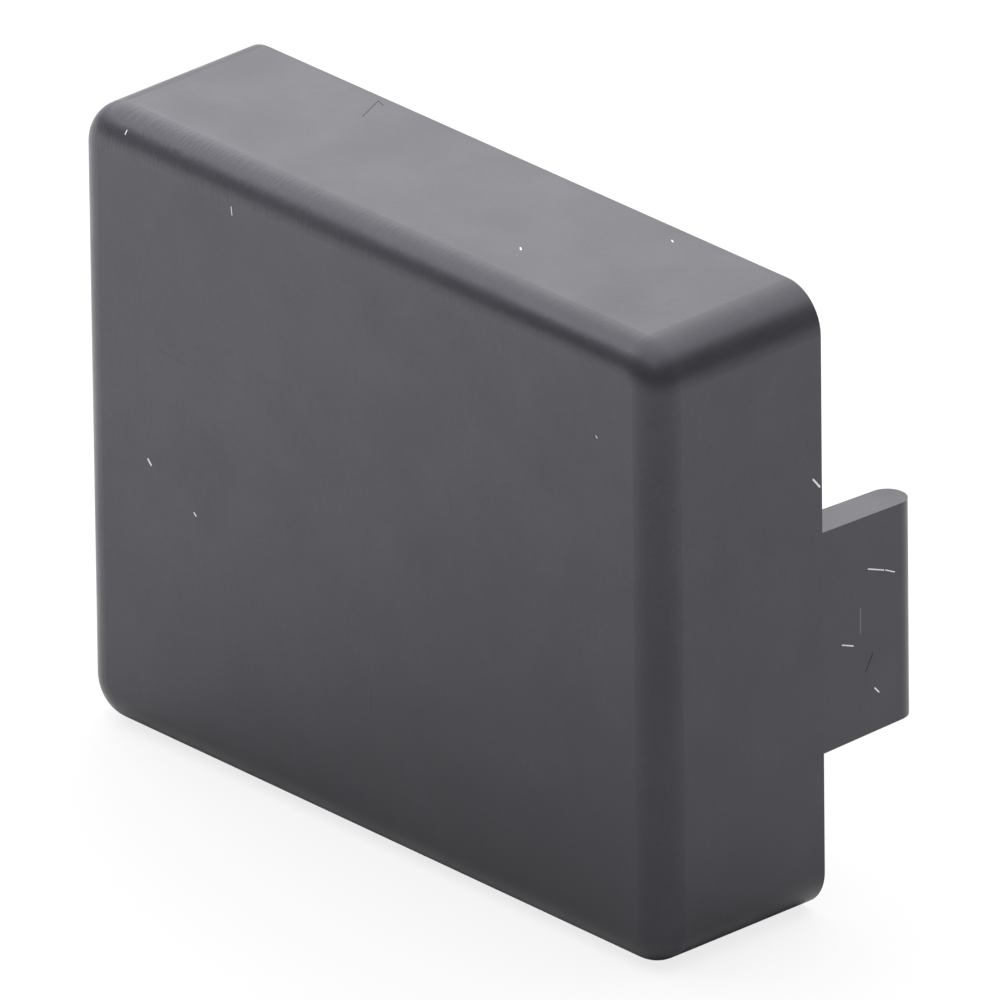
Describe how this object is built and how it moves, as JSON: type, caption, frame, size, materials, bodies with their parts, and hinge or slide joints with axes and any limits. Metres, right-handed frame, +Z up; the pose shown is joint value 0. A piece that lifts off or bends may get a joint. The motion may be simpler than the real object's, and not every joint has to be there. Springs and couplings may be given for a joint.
{
  "type": "profile end cap",
  "caption": "Rectangular push-in end cap with a deep rounded head, hollow behind, and two flat tabs that plug into the end of a profile.",
  "frame": {"origin": "middle of the rim, on the plane that seats on the end of the profile", "axes": "+X across the head, +Y into the profile along the tabs, +Z up; the finished face looks along -Y"},
  "size_m": [0.04, 0.0179, 0.032],
  "materials": {
    "cap_plastic": "fine matte moulded grain, dark anthracite"
  },
  "bodies": {
    "root": {"end_cap": "cap_plastic"}
  },
  "joints": []
}
